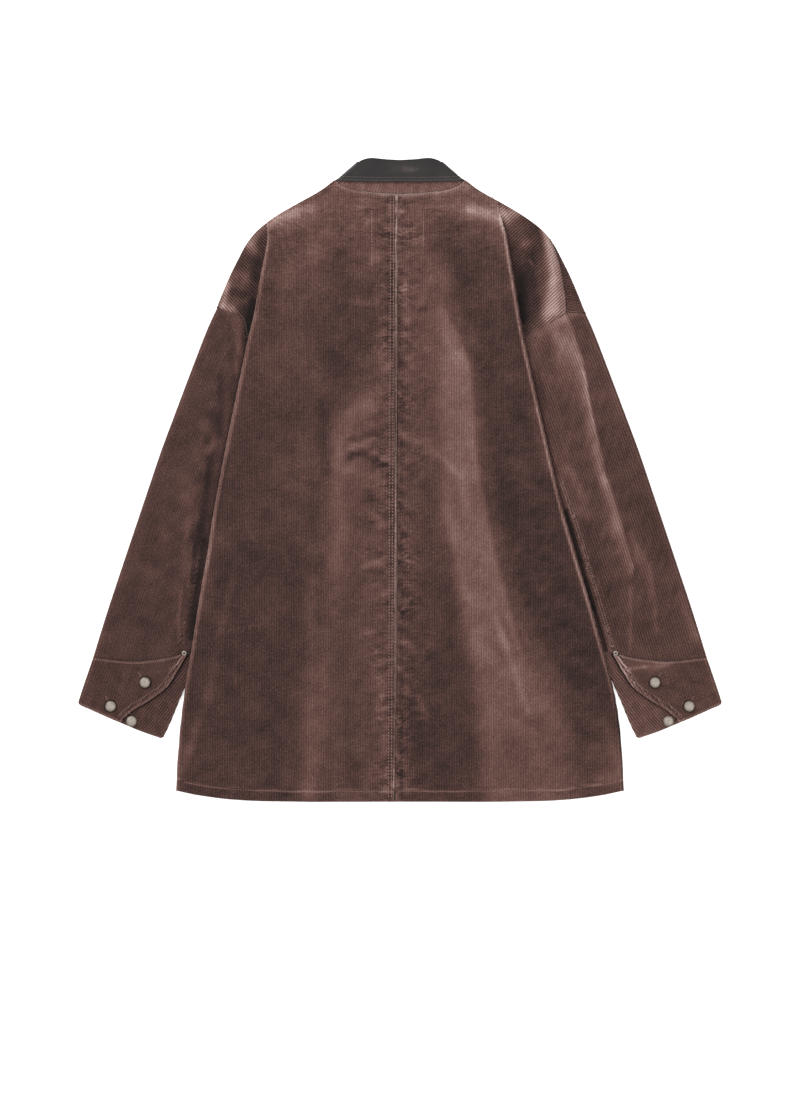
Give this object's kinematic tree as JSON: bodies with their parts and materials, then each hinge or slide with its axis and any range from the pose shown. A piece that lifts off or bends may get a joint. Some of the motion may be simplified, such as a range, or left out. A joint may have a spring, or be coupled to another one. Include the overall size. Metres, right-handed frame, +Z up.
{
  "type": "corduroy jacket",
  "caption": "Oversized corduroy jacket with a dark leather-look collar, buttoned cuffs and a plain back, laid flat on its front.",
  "frame": {"origin": "on the surface that the jacket lies on, under the middle of its outline", "axes": "+Z up from the surface through the back, +Y towards the collar, +X towards the wearer's right"},
  "size_m": [0.825, 0.8375, 0.0105],
  "materials": {
    "corduroy": "brown cotton corduroy with a soft cut pile in fine upright wales",
    "collar_leather": "charcoal fine-grained leather-look, low sheen, double topstitched",
    "tack_metal": "aged silver-grey metal with a darker rim"
  },
  "bodies": {
    "root": {"back_left": "corduroy", "back_right": "corduroy", "front_left": "corduroy", "front_right": "corduroy", "sleeve_left": "corduroy", "sleeve_right": "corduroy", "cuff_left": "corduroy", "cuff_right": "corduroy", "collar_stand": "corduroy", "collar_leaf": "collar_leather", "cuff_button_left_1": "tack_metal", "cuff_button_left_2": "tack_metal", "cuff_button_left_3": "tack_metal", "cuff_button_right_1": "tack_metal", "cuff_button_right_2": "tack_metal", "cuff_button_right_3": "tack_metal", "cuff_rivet_left": "tack_metal", "cuff_rivet_right": "tack_metal"}
  },
  "joints": []
}
